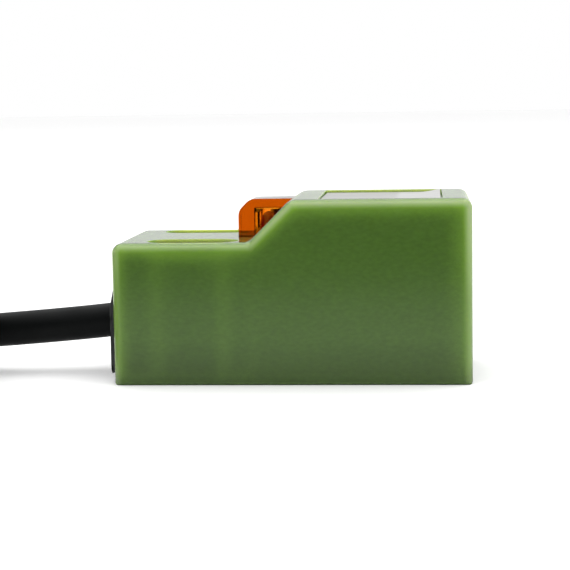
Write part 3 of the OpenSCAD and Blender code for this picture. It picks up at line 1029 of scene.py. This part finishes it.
def pvc_black():
    """The dull black jacket of the cable."""
    m = plastic("cable_black", (0.003, 0.0036, 0.0036), rough=0.5, grain=2200, bump=0.1, vary=0.2)
    m.set(Specular_IOR_Level=0.08)
    return m.mat


MATERIALS = {
    "case_green": case_green(),
    "lens_amber": amber(),
    "lamp_red": lamp_red(),
    "label_white": label_white(),
    "cable_black": pvc_black(),
    "cover_black": simple("cover_black", (0.013, 0.0135, 0.014), 0.5),
    "plate_black": simple("plate_black", (0.010, 0.0105, 0.011), 0.7, bump=0.3),
    "tinned_metal": simple("tinned_metal", (0.62, 0.63, 0.64), 0.3, metallic=1.0),
    "board_green": simple("board_green", (0.02, 0.09, 0.04), 0.3),
    "chip_black": simple("chip_black", (0.02, 0.02, 0.022), 0.55, bump=0.2),
    "chip_tan": simple("chip_tan", (0.40, 0.27, 0.15), 0.5),
    "capacitor_red": simple("capacitor_red", (0.30, 0.04, 0.02), 0.3),
    "capacitor_blue": simple("capacitor_blue", (0.02, 0.04, 0.11), 0.3),
    "diode_red": simple("diode_red", (0.40, 0.09, 0.04), 0.1),
    "ferrite": simple("ferrite", (0.035, 0.035, 0.038), 0.6, bump=0.3),
    "bobbin_white": simple("bobbin_white", (0.62, 0.59, 0.50), 0.5),
    "copper_wire": simple("copper_wire", (0.55, 0.20, 0.08), 0.3, metallic=1.0),
    "resin_dark": simple("resin_dark", (0.03, 0.026, 0.02), 0.25),
    "core_brown": simple("core_brown", (0.10, 0.035, 0.015), 0.4),
    "core_blue": simple("core_blue", (0.01, 0.05, 0.30), 0.4),
    "core_black": simple("core_black", (0.012, 0.012, 0.013), 0.4),
    "tie_white": simple("tie_white", (0.72, 0.72, 0.70), 0.45),
}


def paint_all():
    """Every piece takes its slot's material, and so does each CAD node that stays."""
    slots = {s["node"]: s["material_slot"] for s in frame["record"]["subparts"]}
    for name, obj in NODES.items():
        obj.data.materials.clear()
        obj.data.materials.append(MATERIALS[slots[name]])
    for obj in PIECES + CORD_PIECES:
        obj.data.materials.clear()
        obj.data.materials.append(MATERIALS[obj["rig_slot"]])


paint_all()


# ---------------------------------------------------------------- floor and light

def staged_sheet(name, corners, **look):
    """A plain sheet of the studio, not part of the object."""
    sheet = mesh_object(name, corners, [(0, 1, 2, 3)])
    m = Nodes(name)
    m.set(**look)
    sheet.data.materials.append(m.mat)
    return sheet


FLOOR_HALF = 3000


def make_floor():
    corners = [(x * FLOOR_HALF, y * FLOOR_HALF, 0) for x, y in ((-1, -1), (1, -1), (1, 1), (-1, 1))]
    staged_sheet("floor", corners, Base_Color=(0.97, 0.97, 0.97, 1), Roughness=0.8,
                 Specular_IOR_Level=0.1)


# The card: where it stands, its two ends, and how far its top leans away and how high it is
CARD_X = 84
CARD_ENDS = (-70, 140)
CARD_LEAN = 40
CARD_H = 95


def make_card():
    """A black card at the camera's side that only reflections see."""
    near, far = CARD_ENDS
    corners = [(CARD_X, near, 0), (CARD_X, far, 0), (CARD_X + CARD_LEAN, far, CARD_H),
               (CARD_X + CARD_LEAN, near, CARD_H)]
    card = staged_sheet("flag", corners, Base_Color=(0.01, 0.01, 0.01, 1), Roughness=1.0,
                        Specular_IOR_Level=0.0)
    card.visible_camera = False
    card.visible_diffuse = False
    card.visible_shadow = False
    card.visible_transmission = False


def make_world():
    """White all round, as inside a light tent."""
    world = bpy.data.worlds.new("studio")
    bpy.context.scene.world = world
    world.use_nodes = True
    back = world.node_tree.nodes["Background"]
    back.inputs["Color"].default_value = (1, 1, 1, 1)
    back.inputs["Strength"].default_value = 1


def soft_light(name, at, aim, size, power):
    """A wide lamp, in metres and watts."""
    data = bpy.data.lights.new(name, "AREA")
    data.shape = "RECTANGLE"
    data.size, data.size_y = size
    data.energy = power
    light = bpy.data.objects.new(name, data)
    light.location = at
    light.rotation_mode = "QUATERNION"
    light.rotation_quaternion = (Vector(aim) - Vector(at)).to_track_quat("-Z", "Y")
    bpy.context.scene.collection.objects.link(light)


make_floor()
make_card()
make_world()
soft_light("top", at=(-0.15, 0.0, 0.7), aim=(0, 0, 0), size=(0.9, 1.2), power=5.6)
bpy.context.scene.view_settings.view_transform = "Standard"
bpy.context.scene.view_settings.look = "None"
